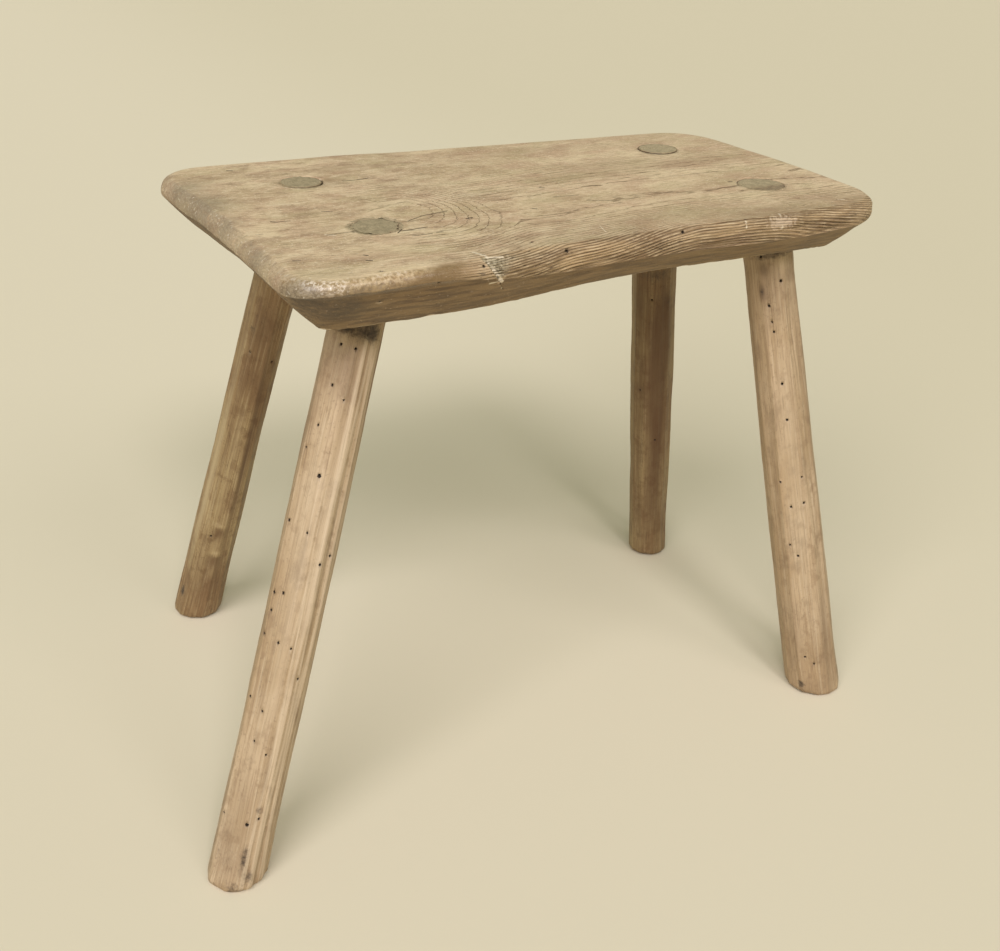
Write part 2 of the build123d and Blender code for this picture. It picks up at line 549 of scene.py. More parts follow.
def seat_zones(points, normals):
    """How much of each kind of wear is at each point, from 0 to 1."""
    x, y, z = points.T
    front_line = np.interp(x, *np.array(edge_points["front"]).T)
    near_front = 1 - smooth(y - front_line, 4, 46)
    band_foot = np.interp(x, (-200, -100, -75, 0, 60, 120, 200), (8, 9, 14, 15, 14, 15, 11))
    downward = smooth(-normals[:, 2], 0.25, 0.5)
    nose = near_front * (1 - smooth(-z, band_foot, band_foot + 3)) * (1 - downward)
    nose = nose * smooth(-normals[:, 1], 0.12, 0.5)
    opened = np.maximum(smooth(torn_edge(x, z), -1, 1), 0.45 * smooth(x, -112, -92))
    underside = smooth(-normals[:, 2], 0.85, 0.98)
    return SimpleNamespace(
        on_top=smooth(normals[:, 2], 0.5, 0.95), near_front=near_front, nose=nose,
        ridged=nose * (opened * (1 - 0.4 * smooth(x, 180, 205))), underside=underside,
        bevel=downward * (1 - underside),
        left_rim=smooth(-x, 176, 200) * smooth(-normals[:, 0], 0.1, 0.5) * (1 - downward),
        polished=(1 - smooth(x, -112, -86)) * smooth(-z, 0.1, 1.5) * (1 - smooth(-z, 9, 11))
        * smooth(-normals[:, 1], 0.05, 0.4))


def survey():
    """The seat's points, normals and zones of wear, as it is now."""
    points, normals = points_of(seat), normals_of(seat)
    return points, normals, seat_zones(points, normals)


# %% Carve the seat
x, y, z = centres_of(seat.faces).T
near_flake = (x > -102) & (x < -54) & (y < -100) & (z > -21)
finer = {e for f, near in zip(seat.faces, near_flake) if near for e in f.edges
         if abs((e.verts[1].co - e.verts[0].co).normalized().x) > 0.9}
bmesh.ops.subdivide_edges(seat, edges=list(finer), cuts=3, use_grid_fill=True)

points, normals, zone = survey()
x, y, z = points.T


def wave(sizes, seed):
    """Noise on the seat, to carve by."""
    return bumps(points, sizes, seed)


# The raised grain: grooves between the rings, which come and go along the nose
torn_place = (113, -119, -4)
relief = 0.03 + 0.14 * zone.near_front * smooth(x, -110, -40) * zone.on_top + 0.7 * zone.ridged
relief = relief * np.clip(0.75 + 1.5 * wave((30, 9, 5), 5) + 0.9 * wave((8, 3, 3), 6), 0, 1.8)
relief = relief * (1 - 0.8 * spot(points, torn_place, (16, 8, 8)))
carve = -relief * groove(seat_rings(points))
carve += -0.7 * zone.ridged * smooth(wave((34, 9, 5), 7), -0.1, 0.5)

# Soft hollows everywhere, and dents in the polished nose and the left rim
carve += 0.5 * wave((60, 45, 40), 8) * zone.on_top
carve += 0.1 * wave((14, 9, 9), 9)
carve += zone.polished * (0.5 * wave((14, 9, 6), 10) + 0.12 * wave((4, 4, 3), 11))
carve += zone.left_rim * (0.7 * wave((20, 13, 12), 18) + 0.4 * wave((6, 5, 5), 19))

# The flake's scar with a lip along its torn edge, and the torn place further right
carve += -2.2 * flake_scar(points)
carve += 0.5 * np.exp(-((torn_edge(x, z) + 0.8) / 0.9) ** 2) * smooth(-z, 0.3, 2) * zone.nose
carve += -1.3 * spot(points, torn_place, (14, 7, 7)) * smooth(wave((6, 5, 5), 12), -0.4, 0.4)

# The hewn bevel and underside, and nibbles out of the lowest edge
carve += zone.bevel * (0.5 * wave((38, 20, 12), 13) + 0.2 * wave((9, 6, 5), 14))
carve += zone.underside * 0.35 * wave((25, 60, 20), 15)
low_edge = np.exp(-((z + seat_thickness) / 1.6) ** 2) * (1 - zone.underside * 0.6)
carve += -0.7 * low_edge * smooth(wave((7, 7, 8), 16), 0.0, 0.5) * (1 - smooth(x, 120, 150))
carve += 0.25 * wave((22, 22, 12), 17) * (1 - zone.on_top)
set_points(seat, points + normals * carve[:, None])
print("carved by", carve.min().round(2), "to", carve.max().round(2), "mm")

# %% [markdown]
# ## Worm holes
# Woodworm leaves round holes about 2 mm across. Dark dots of colour would do from afar, but
# a real hole has a sharp rim and holds a shadow. Each is placed by a point of the picture:
# a line of sight from the camera finds the face that it meets. The faces there are merged
# into one, a smaller face is set into it, drawn on to a circle and pushed into the wood.
# Its inside is painted nearly black as well, as painted shade.

# %% Drill worm holes
hole_steps = ((0.0, 1.0), (0.7, 0.9), (3.0, 0.6))       # depth in mm, share of the radius


def drill(mesh, middle, spots):
    """Drills holes where the camera sees the given points of the picture."""
    tree = BVHTree.FromBMesh(mesh)
    hits = [(seen(tree, middle, across, down), wide) for across, down, wide in spots]
    faces = list(mesh.faces)
    centres = centres_of(faces)
    depth_mark = mesh.verts.layers.float.get("bore") or mesh.verts.layers.float.new("bore")
    made = 0
    for (place, normal), wide in hits:
        if place is None:
            continue
        radius = wide / 2
        near = np.linalg.norm(centres - np.array(place), axis=1) < radius + 0.9
        patch = [faces[i] for i in np.nonzero(near)[0]
                 if faces[i].is_valid and faces[i].normal.dot(normal) > 0.3]
        if not patch:
            continue
        whole = bmesh.ops.dissolve_faces(mesh, faces=patch)["region"]
        if len(whole) != 1:
            continue
        rim = whole[0]
        bmesh.ops.inset_region(mesh, faces=[rim], thickness=0.15)
        side = normal.orthogonal().normalized()
        other = normal.cross(side)
        for depth, scale in hole_steps:
            if depth:
                rim = bmesh.ops.extrude_discrete_faces(mesh, faces=[rim])["faces"][0]
            loop = [loop.vert for loop in rim.loops]
            angles = [np.arctan2((v.co - place).dot(other), (v.co - place).dot(side)) for v in loop]
            for vertex, angle in zip(loop, angles):
                flat = side * cos(angle) + other * sin(angle)
                vertex.co = place + flat * (radius * scale) - normal * (depth + 0.1)
                # Painted shade: the hole's inside is marked to be painted nearly black.
                vertex[depth_mark] = min(1.0, depth + 0.15)
        made += 1
    print("drilled", made, "of", len(spots), "holes")


def bored(mesh):
    """How far inside a worm hole each point is, from 0 to 1."""
    layer = mesh.verts.layers.float["bore"]
    return np.array([v[layer] for v in mesh.verts])


# Points of the picture, and widths in millimetres
seat_holes = [(382, 271, 2.2), (380, 302, 1.6), (439, 283, 1.8), (471, 218, 1.5),
              (484, 266, 1.8), (532, 242, 1.5), (683, 232, 2.2), (567, 251, 2.4)]
drill(seat, seat_middle, seat_holes)

# %% [markdown]
# ## Finishing a mesh
# A finished piece's object sits at the origin with its place in its mesh. The numbers that
# the wood needs are stored on its points as attributes: how far along the grain a point
# lies, its ring number, and how much it is worn, polished, torn, stained or in a hole.

# %% Make an object from a carved mesh
def finished_piece(mesh, name, middle, marks, material):
    """Turns a carved bmesh into a piece in metres, with its marks as attributes."""
    bmesh.ops.translate(mesh, verts=mesh.verts, vec=Vector(middle.tolist()))
    bmesh.ops.scale(mesh, verts=mesh.verts, vec=(0.001, 0.001, 0.001))
    data = mesh_from(mesh, name)
    for mark, values in marks.items():
        width = values.ndim
        layer = data.attributes.new(mark, "FLOAT" if width == 1 else "FLOAT_VECTOR", "POINT")
        layer.data.foreach_set("value" if width == 1 else "vector", values.astype("f").ravel())
    data.materials.append(material)
    piece = placed(name, data)
    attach(piece, "root")
    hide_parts(name)
    print(name, "has", sum(len(p.vertices) - 2 for p in data.polygons), "triangles")
    return piece


# %% [markdown]
# ## Writing a finish
# Shader nodes read best as sums. One small class wraps a node's output, so that + - * add
# the Math or Vector Math nodes, and one method makes any other node. A finish is painted
# like a wall: each shade is laid over the colour so far by its own share.

# %% The node writer
def tone(red, green, blue):
    """A colour as a screen shows it, in the light values that a shader takes."""
    return tuple((c / 255 / 12.92) if c / 255 < 0.04045 else ((c / 255 + 0.055) / 1.055) ** 2.4
                 for c in (red, green, blue))


def sum_operator(operation, swapped=False):
    """What + - or * does with a wire: it adds the Math or Vector Math node."""
    def work(wire, other):
        sides = (other, wire) if swapped else (wire, other)
        vector = any(isinstance(side, Wire) and side.socket.type in ("VECTOR", "RGBA")
                     for side in sides)
        kind = "ShaderNodeVectorMath" if vector else "ShaderNodeMath"
        return wire.finish.node(kind, {"operation": operation}, dict(enumerate(sides)))
    return work


class Wire:
    """A node's output that can stand in a sum."""
    __add__, __radd__ = sum_operator("ADD"), sum_operator("ADD", swapped=True)
    __sub__, __rsub__ = sum_operator("SUBTRACT"), sum_operator("SUBTRACT", swapped=True)
    __mul__, __rmul__ = sum_operator("MULTIPLY"), sum_operator("MULTIPLY", swapped=True)

    def __init__(self, finish, socket):
        self.finish, self.socket = finish, socket


class Finish:
    """A material's nodes."""

    def __init__(self, name):
        self.material = bpy.data.materials.new(name)
        self.material.use_nodes = True
        self.tree = self.material.node_tree
        self.tree.nodes.clear()
        self.colour = None

    def node(self, kind, settings, inputs, output=0):
        """Makes a node, applies its settings, then fills its sockets."""
        node = self.tree.nodes.new(kind)
        for key, value in settings.items():
            setattr(node, key, value)
        for key, value in inputs.items():
            socket = node.inputs[key]
            if isinstance(value, Wire):
                self.tree.links.new(value.socket, socket)
            elif socket.type == "RGBA":
                socket.default_value = (*value, 1)
            elif socket.type == "VECTOR" and isinstance(value, (int, float)):
                socket.default_value = (value,) * 3
            else:
                socket.default_value = value
        return Wire(self, node.outputs[output])

    def mark(self, name):
        """A number stored on the mesh."""
        return self.node("ShaderNodeAttribute", {"attribute_name": name}, {}, "Fac")

    def place(self, name):
        """A place stored on the mesh."""
        return self.node("ShaderNodeAttribute", {"attribute_name": name}, {}, "Vector")

    def millimetres(self):
        """Where each point lies, in millimetres."""
        return self.node("ShaderNodeTexCoord", {}, {}, "Object") * 1000.0

    def maths(self, operation, *values):
        """What a Math node makes of some numbers."""
        return self.node("ShaderNodeMath", {"operation": operation}, dict(enumerate(values)))

    def length(self, arrow):
        return self.node("ShaderNodeVectorMath", {"operation": "LENGTH"}, {0: arrow}, "Value")

    def cloud(self, place, scale, detail=3.0, rough=0.55):
        """Noise from 0 to 1."""
        return self.node("ShaderNodeTexNoise", {},
                         {"Vector": place, "Scale": scale, "Detail": detail, "Roughness": rough},
                         "Fac")

    def rise(self, value, low, high):
        """0 below low, 1 above high and a soft rise between."""
        return self.node("ShaderNodeMapRange", {"interpolation_type": "SMOOTHSTEP"},
                         {"Value": value, "From Min": low, "From Max": high})

    def fall(self, value, low, high):
        """1 below low, 0 above high and a soft drop between."""
        return 1.0 - self.rise(value, low, high)

    def mix(self, share, one, other):
        """A colour from one to the other. Three numbers are a colour as a screen shows it."""
        one, other = (c if isinstance(c, Wire) else tone(*c) for c in (one, other))
        return self.node("ShaderNodeMix", {"data_type": "RGBA"}, {0: share, 6: one, 7: other}, 2)

    def paint(self, share, shade):
        """Lays a shade over the colour so far."""
        self.colour = self.mix(share, self.colour, shade)

    def kept(self, value):
        """A value kept between 0 and 1."""
        return self.node("ShaderNodeClamp", {}, {"Value": value})

    def stroke(self, place, start, end, width):
        """1 along a thin line between two places, 0 away from it."""
        run = Vector(end) - Vector(start)
        away = place - tuple(start)
        along = self.node("ShaderNodeVectorMath", {"operation": "DOT_PRODUCT"},
                          {0: away, 1: tuple(run / run.length_squared)}, "Value")
        nearest = self.node("ShaderNodeVectorMath", {"operation": "SCALE"},
                            {0: tuple(run), "Scale": self.kept(along)})
        return self.fall(self.length(away - nearest), width * 0.35, width)

    def strokes(self, place, lines):
        """The most of many strokes."""
        total = None
        for start, end, width in lines:
            line = self.stroke(place, start, end, width)
            total = line if total is None else self.maths("MAXIMUM", total, line)
        return total

    def surface(self, inputs):
        """Joins a shader to the material's output."""
        shader = self.node("ShaderNodeBsdfPrincipled", {}, inputs)
        out = self.tree.nodes.new("ShaderNodeOutputMaterial")
        self.tree.links.new(shader.socket, out.inputs["Surface"])
        print(self.material.name, "has", len(self.tree.nodes), "nodes")
        return self.material

    def done(self, roughness, height, distance, coat=0.0):
        """The wood with its colour so far, its roughness, relief and shine."""
        bump = self.node("ShaderNodeBump", {}, {"Strength": 1.0, "Distance": distance,
                                                "Height": height})
        return self.surface({"Base Color": self.colour, "Roughness": roughness, "Normal": bump,
                             "Coat Weight": coat, "Coat Roughness": 0.22})


# %% [markdown]
# ## Marks on the seat
# Some marks belong to this very stool: the cracks beside the tenons, the short dark checks
# along the grain, a few pale scratches, the pale torn edge of the flake with a painted highlight
# on it, and places where the wood is lighter or darker, some of them painted glints.
# Noise could scatter such marks, but it wouldn't put them where this stool has them. So
# each is given by points of the picture, and the camera finds them on the carved seat.

# %% Marks on the seat, by points of the picture
dark_strokes = [        # from, to and width in millimetres
    (402, 230.8, 427, 227, 0.8), (408, 221, 422, 215.8, 0.5), (422, 215.8, 447, 210.8, 0.5),
    (413, 236, 432, 233.3, 0.6), (437, 232.5, 443, 231.7, 0.5), (327, 235, 357, 230.8, 0.45),
    (322, 211.3, 332, 211.7, 0.7), (364, 255, 367.5, 255.3, 0.9), (366.7, 260.3, 372, 260.5, 0.8),
    (343, 181, 357, 179.7, 0.6), (357, 179.7, 367, 178.3, 0.7), (271, 221.7, 277, 222, 0.8),
    (277, 222, 290, 220.8, 0.5), (293, 260.8, 300, 260.8, 0.7), (227.5, 170.6, 232, 170.8, 1.2),
    (467, 218.5, 472, 217.5, 0.9), (533, 208.4, 537, 208.7, 0.7), (587, 200.2, 612, 200.2, 0.5),
    (553, 197, 579, 194.8, 0.4), (371, 233.5, 377, 232.5, 1.4), (398, 233, 402, 229, 0.5),
    (729, 181.7, 739, 182.8, 0.9), (540, 187.6, 544, 187.6, 0.7),
]
pale_strokes_and_edge_light = [        # the same
    # The first five run along the flake's torn edge: pale torn fibres, and a painted highlight where the
    # edge catches the light.
    (473, 252.3, 487, 257.5, 1.3), (481, 255, 494, 271, 1.3), (494, 271, 502, 281.5, 1.5),
    (487, 257.5, 503, 257, 0.6), (490, 283.5, 500, 280, 0.9), (600, 226, 606, 232, 0.4),
    (325, 234.8, 335, 235.4, 0.9), (266, 205.8, 300, 203.3, 0.4), (745.5, 221, 746.5, 228, 0.8),
    (779, 214, 782, 228, 1.2), (838, 199.2, 844, 199.6, 0.9), (403, 232.2, 425, 228.6, 0.4),
]
# Some lighter spots, on the nose's top edge and its polished left part, place painted highlights: glints
# where the light catches the wood.
seat_tints_and_glints = [          # point, length along the grain, width, lighter (+) or darker (-)
    (395, 250, 22, 9, 0.6), (330, 226, 20, 8, 0.4), (470, 185, 40, 9, 0.25), (700, 205, 50, 10, 0.25),
    (279, 182, 7, 6, -0.6), (329, 180, 7, 5, -0.6), (337, 167, 25, 7, -0.4), (565, 178, 40, 9, -0.35),
    (660, 166, 40, 8, -0.3), (858, 204, 16, 14, -0.5), (770, 190, 40, 12, -0.25), (453, 268, 22, 8, -0.6),
    (300, 172, 60, 6, -0.2), (245, 250, 14, 12, -0.35), (600, 262, 60, 5, -0.4), (520, 272, 40, 5, -0.5),
    (425, 300, 60, 9, -0.3), (240, 200, 25, 14, 0.2), (500, 240, 18, 6, -0.35), (760, 215, 30, 6, -0.2),
    (600, 165, 40, 10, -0.45), (700, 160, 50, 10, -0.35), (540, 150, 50, 8, -0.3),
    (519, 255, 13, 2.5, 0.9), (547, 258, 8, 4, 0.5), (580, 256, 20, 3, -0.4), (700, 238, 20, 3, -0.3),
    (800, 226, 22, 4, -0.3), (300, 215, 9, 5, -0.35), (270, 235, 10, 6, 0.4), (345, 262, 12, 6, -0.3),
    (215, 178, 14, 5, -0.3), (365, 205, 16, 5, -0.25), (410, 190, 18, 5, 0.3), (320, 255, 12, 6, 0.35),
    (425, 282, 9, 3, -0.7), (440, 285, 8, 3, -0.6), (425, 291, 20, 5, -0.7), (385, 296, 26, 4.5, -0.7),
    (350, 302, 20, 4, -0.7), (447, 276, 12, 7, -0.6), (465, 283, 14, 5, -0.4), (318, 281, 15, 5, 0.9),
    (338, 289, 8, 4, 0.6), (394, 270, 20, 4, 1.0), (297, 274, 8, 6, 0.7), (640, 190, 30, 7, 0.2),
    (545, 222, 14, 5, -0.3), (560, 200, 16, 5, -0.25),
]
seat_greys = [          # the same, for grey grime
    (205, 205, 16, 20, 0.8), (186, 188, 14, 16, 0.6), (225, 228, 10, 14, 0.5), (318, 307, 20, 11, 1.2),
    (300, 296, 9, 7, 0.8), (255, 262, 8, 14, 0.5), (345, 310, 14, 7, 0.8), (860, 215, 12, 8, 0.4),
    (330, 184, 10, 7, 0.25), (470, 195, 20, 8, 0.2),
]

# %% [markdown]
# ## The seat's wood
# The slab is old bare softwood. Its colour wanders between honey, pink and grey, each ring
# ends in a thin darker line, and the fibres show as fine streaks that follow the grain.
# The grooves between the raised rings are darker, and the crests paler, partly as a painted
# highlight. Short dark splits follow the rings, the polished nose is golden and shines a little,
# with painted glints, and torn wood is pale, with a painted highlight along the flake's torn
# edge and painted shade in its scar. One noise through one colour ramp would give all of this a
# single cause, so each shade has its own, and is laid over the ones before.

# %% Seat wood
# Painted shade: the colour inside holes and mortises, and in the crescents beside the back tenons.
hole_shade_colour = (34, 24, 16)                    # inside worm holes and mortises
seat_relief, leg_relief = 0.0006, 0.0005    # how high the fine grain of the bump stands, in metres


def seat_wood(dark_lines, pale_lines_and_edge_light):
    wood = Finish("seat_wood")
    cloud, rise, mark, mix, kept, paint, fall = (
        wood.cloud, wood.rise, wood.mark, wood.mix, wood.kept, wood.paint, wood.fall)
    grain = wood.place("grain")             # along the grain, across it, depth
    mm = wood.millimetres()
    ring = mark("ring") + (cloud(grain * (0.07, 0.45, 0.45), 1.0, 3.0) - 0.5) * 0.6
    phase = wood.maths("FRACT", ring)
    off = wood.maths("ABSOLUTE", phase - 0.5)
    valley = fall(off * mark("thin"), 0.02, 0.13)
    crest = rise(off, 0.28, 0.44)
    patches = cloud(mm * (0.013, 0.024, 0.024), 1.0, 4.0, 0.6)
    pink = cloud(mm * (0.03, 0.05, 0.05) + (5.0, 3.0, 1.0), 1.0, 4.0, 0.6)
    mottle = cloud(mm * (0.055, 0.1, 0.1) + (2.0, 8.0, 1.0), 1.0, 4.0, 0.6)
    fibres = cloud(grain * (0.1, 0.62, 0.8), 1.0, 4.0, 0.7)
    fine = cloud(grain * (0.24, 1.4, 1.4), 1.0, 3.0, 0.65)
    threads = cloud(grain * (0.1, 0.9, 0.9) + (3.0, 7.0, 0.0), 1.0, 3.0, 0.6)
    speck = cloud(mm, 0.55, 3.0, 0.6)
    lumps = cloud(mm * (0.7, 1.0, 1.0), 0.42, 3.0, 0.6)
    blotchy, bevel, polished, ridges = mark("blotchy"), mark("bevel"), mark("polished"), mark("ridges")
    tint, grey, lines = mark("tint"), mark("grey"), mark("lines")

    # The bare wood: honey, pink and straw, then blotches, streaks and its own light and dark
    wood.colour = mix(rise(patches, 0.38, 0.62), (216, 192, 155), (188, 163, 127))
    paint(rise(pink, 0.45, 0.65) * 0.5, (186, 150, 122))
    paint(fall(pink, 0.34, 0.47) * 0.4, (190, 174, 132))
    paint(rise(mottle, 0.5, 0.64) * blotchy * 0.5, (150, 120, 94))
    paint(fall(mottle, 0.36, 0.48) * blotchy * 0.55, (222, 200, 164))
    paint(rise(fibres, 0.5, 0.66) * 0.45, (142, 114, 82))
    paint(fall(fibres, 0.35, 0.47) * 0.4, (226, 206, 170))
    paint(rise(fine, 0.54, 0.69) * 0.45, (126, 99, 70))
    paint(fall(speck, 0.34, 0.44) * 0.5, (228, 211, 180))
    paint(kept(tint) * 0.6, (212, 192, 152))
    paint(kept(tint * -1.0) * 0.7, (130, 103, 70))

    # The bevel and underside, darker partly as painted shade, the polished left part of the nose with
    # painted glints, and its opened right part
    adze = rise(cloud(grain * (0.05, 0.12, 0.5), 1.0, 4.0), 0.4, 0.62)
    paint(bevel * 0.9, mix(adze, (124, 99, 64), (88, 67, 42)))
    high = mix(rise(lumps, 0.4, 0.62), (160, 131, 88), (198, 174, 136))
    low = mix(rise(lumps, 0.4, 0.6), (92, 69, 38), (132, 105, 64))
    rubbed_and_glints = mix(mark("low_nose"), high, low)
    rubbed_and_glints = mix(rise(speck, 0.5, 0.62) * 0.6, rubbed_and_glints, (98, 77, 48))
    rubbed_and_glints = mix(kept(tint * -1.2) * 0.85, rubbed_and_glints, (112, 86, 48))
    # Painted highlights: whitish glints on the polished nose, where the lighter seat spots lie.
    glint = kept(tint * 1.4) * fall(speck, 0.4, 0.52)
    rubbed_and_glints = mix(glint * 0.85, rubbed_and_glints, (236, 222, 204))
    paint(polished * 0.8, rubbed_and_glints)
    spells = cloud(mm * (0.016, 0.07, 0.09) + (1.0, 4.0, 6.0), 1.0, 4.0, 0.6)
    opened = mix(rise(spells, 0.4, 0.6), (176, 147, 107), (118, 92, 59))
    paint(mark("worn") * 0.8, opened)

    # The rings: pale crests on the nose, partly a painted highlight, and dark lines that come and go,
    # darker in the nose's grooves
    paint(crest * ridges * rise(threads, 0.44, 0.6) * 0.7, (206, 184, 148))
    breakup = cloud(grain * (0.04, 0.14, 0.14), 1.0, 3.0)
    on_nose = (0.05 + 0.5 * fall(threads, 0.36, 0.62)) * (0.25 + 0.75 * rise(breakup, 0.42, 0.58))
    line = valley * (0.35 + 0.65 * rise(breakup, 0.38, 0.6)) * lines + valley * ridges * on_nose
    paint(kept(line), (104, 80, 50))

    # The torn flake, its scar partly darkened as painted shade, grime, the wood pressed against the
    # tenons and the torn place at the right
    torn_grey_and_shade = mix(rise(speck, 0.4, 0.6), (176, 164, 134), (110, 98, 70))
    paint(kept(mark("scar") * 1.6) * 0.85, torn_grey_and_shade)
    grime = mix(rise(lumps, 0.4, 0.62), (96, 84, 66), (140, 126, 104))
    # On the bevel the grime is painted darker as well, partly as painted shade.
    grime = mix(bevel, grime, (80, 68, 52))
    paint(kept(grey) * rise(lumps, 0.1, 0.6) * 0.8, grime)
    # Pale worn flecks on the left rim's grey, with painted glints among them.
    flecks_and_glints = kept(grey * 1.4) * fall(speck, 0.34, 0.48) * fall(lumps, 0.4, 0.52) * (1.0 - bevel)
    paint(flecks_and_glints * 0.55, (208, 198, 178))
    paint(rise(mark("fused") + (speck - 0.5) * 1.6 + (fibres - 0.5), 0.45, 0.65) * 0.85,
          (150, 134, 104))
    paint(rise(mark("torn") + (speck - 0.5) * 2.4, 0.25, 0.75) * 0.5, (216, 194, 166))

    # Splits, scratches and holes
    stray = wood.node("ShaderNodeTexNoise", {}, {"Vector": mm, "Scale": 0.35, "Detail": 2.0},
                      "Color") - (0.5, 0.5, 0.5)
    dashes = cloud(grain * (0.13, 1.2, 0.5) + (9.0, 0.0, 2.0), 1.0, 2.0, 0.4)
    gate = cloud(mm + (40.0, 0.0, 0.0), 0.03, 2.0)
    dash = rise(dashes, 0.68, 0.74) * rise(gate, 0.42, 0.6)
    dash = kept(dash * 0.7 + wood.strokes(mm + stray * 0.9, dark_lines))
    # Pale scratches, and a painted highlight along the flake's torn edge.
    paint(wood.strokes(mm + stray * 0.4, pale_lines_and_edge_light) * 0.8, (226, 210, 182))
    paint(dash * 0.85, (70, 52, 34))
    # Painted shade in the worm holes and mortises and beside the back tenons.
    paint(mark("bore"), hole_shade_colour)

    roughness = 0.7 - 0.3 * polished - 0.08 * rise(fibres, 0.4, 0.7)
    height = fibres * 0.5 + fine * 0.4 - valley * (0.08 + 0.35 * lines + 1.0 * ridges) \
        - dash * 1.3 + speck * 0.35 + lumps * (0.2 + 0.9 * polished)
    return wood.done(roughness, height, seat_relief, polished * 0.5)


# %% Finish the seat
seat_tree = BVHTree.FromBMesh(seat)


def on_picture(strokes):
    """Strokes of the picture as places on the seat, in millimetres."""
    found = []
    for *points, width in strokes:
        ends = [seen(seat_tree, seat_middle, *point)[0] for point in (points[:2], points[2:])]
        if None not in ends:
            found.append((*(tuple(np.array(place) + seat_middle) for place in ends), width))
    print("found", len(found), "of", len(strokes), "strokes on the seat")
    return found


points, normals, zone = survey()
x, y, z = points.T
rim_gap = {name: off_axis(name, points + seat_middle) - girth(name, points[:, 2] + seat_height)
           for name in leg_names}
# Painted shade: the walls of the mortises, and dark crescents beside the back tenons on the side where
# their holes opened.
in_mortise = (1 - smooth(np.min([np.abs(gap) for gap in rim_gap.values()], axis=0), 0.6, 1.6)) \
    * smooth(-z, 0.4, 2) * (1 - smooth(-z, 32, 33.9))
crescents = sum((1 - smooth(rim_gap[name], 1.8, 3.2)) * smooth(
    (points + seat_middle - axis_at(name, points[:, 2] + seat_height))[:, :2]
    @ np.array(hole_drift[name]), 4, 14) for name in ("leg_back_left", "leg_back_right"))
fused = sum(share * (1 - smooth(rim_gap[name], 0.5, reach)) for name, share, reach in
            (("leg_front_left", 1.0, 4.5), ("leg_front_right", 0.6, 5.0)))
line_strength = 0.2 + 0.65 * smooth(x, -128, -84) * (1 - 0.6 * smooth(y, 10, 50)) \
    + 0.25 * spot(points, (-85, -85, 0), (45, 30, 20))
grain_line = (1, 0, 0)
seat_marks = {
    "grain": points + np.outer(2.5 * bumps(points, (60, 26, 26), 21), (0, 1, 0)),
    "ring": seat_rings(points), "thin": np.clip(ring_gaps(points, normals) / 3.4, 1, 2),
    "worn": np.clip(zone.ridged + 0.25 * zone.near_front * smooth(x, -110, -60), 0, 1),
    "ridges": zone.ridged,
    "lines": np.clip(line_strength, 0, 1) * (1 - zone.bevel) * (1 - 0.5 * zone.polished)
    * (1 - zone.nose),
    "blotchy": 1 - 0.6 * smooth(x, -80, 40), "polished": zone.polished,
    "torn": spot(points, torn_place, (17, 9, 8)), "scar": flake_scar(points),
    "low_nose": smooth(-z + 1.5 * bumps(points, (7, 7, 5), 32), 2.5, 6.5),
    "tint": picture_spots(seat_tree, seat_middle, points, grain_line, seat_tints_and_glints),
    "grey": picture_spots(seat_tree, seat_middle, points, grain_line, seat_greys)
    + 0.5 * zone.left_rim,
    # The bevel and half the underside take darker shades, partly painted shade.
    "bevel": np.clip(zone.bevel + 0.5 * zone.underside, 0, 1),
    "fused": fused * zone.on_top,
    "bore": np.clip(bored(seat) + in_mortise + 0.9 * crescents * (z > -3), 0, 1),
}
seat_material = seat_wood(on_picture(dark_strokes), on_picture(pale_strokes_and_edge_light))
seat_piece = finished_piece(seat, "seat", seat_middle, seat_marks, seat_material)

# %% [markdown]
# ## The legs
# A curve with a round bevel could make a leg, but it would have no flats. So a leg starts
# as a plain cylinder, split into many rings. Each ring is a level slice of the leaning leg,
# so the sole lies flat on the floor and the tenon's end lies flat in the seat. The
# drawknife's flats are cut by taking, in every direction, the nearest of the round and the
# flats. Slow noise lets the flats come and go along the leg.

# %% Flats, bends and ridges
leg_flats = for_legs(       # where each flat faces, in degrees seen from above, and how deep it is
    ((172, 0.6), (212, 2.4), (262, 0.6), (291, 1.0), (322, 1.2), (355, 0.9), (35, 1.0), (80, 0.8),
     (120, 1.1), (148, 0.9)),
    ((190, 1.0), (222, 0.8), (252, 1.9), (287, 1.5), (322, 1.8), (10, 0.9), (55, 1.2), (100, 1.0),
     (145, 1.3)),
    ((200, 0.9), (238, 1.4), (270, 0.8), (301, 1.3), (340, 1.0), (25, 0.9), (75, 1.1), (125, 0.9),
     (165, 1.1)),
    ((192, 1.0), (228, 1.3), (258, 0.6), (285, 1.4), (318, 0.9), (352, 1.1), (30, 1.0), (78, 0.9),
     (121, 1.2), (160, 0.9)),
)
bends = for_legs(0.5, -0.6, 0.4, -0.5)
# Where the drawknife or the grain left fine ridges: facing, half width and depth
flutes = for_legs((292, 46, 0.55), (235, 60, 0.2), (235, 180, 0.18), (240, 180, 0.25))
tenon_setback = for_legs(0.3, -0.3, -0.45, 0.15)    # the back ones stand above the shrunken seat
leg_seeds = for_legs(40, 70, 100, 130)
hewn_to = (325, 350)        # the drawknife's marks fade out between these heights


def below_neck(height):
    return 1 - smooth(height, *hewn_to)


def unrolled(angle, height):
    """Places on a leg's bark as if it were a true cylinder, for noise to follow."""
    return np.stack([np.cos(angle) * 16, np.sin(angle) * 16, height], axis=1)


def fine_ridges(name, angle, height):
    """Fine sharp ridges over part of a leg's round: 1 on a crest, about -1 in a valley."""
    facing, half_width = (radians(value) for value in flutes[name][:2])
    turned = np.abs((angle - facing + pi) % (2 * pi) - pi)
    fluted = 1 - smooth(turned, half_width * 0.7, half_width * 1.1 + 0.01)
    return fluted * (1 - 2.2 * np.abs(bumps(unrolled(angle, height), (3.4, 3.4, 150),
                                            leg_seeds[name] + 28)))


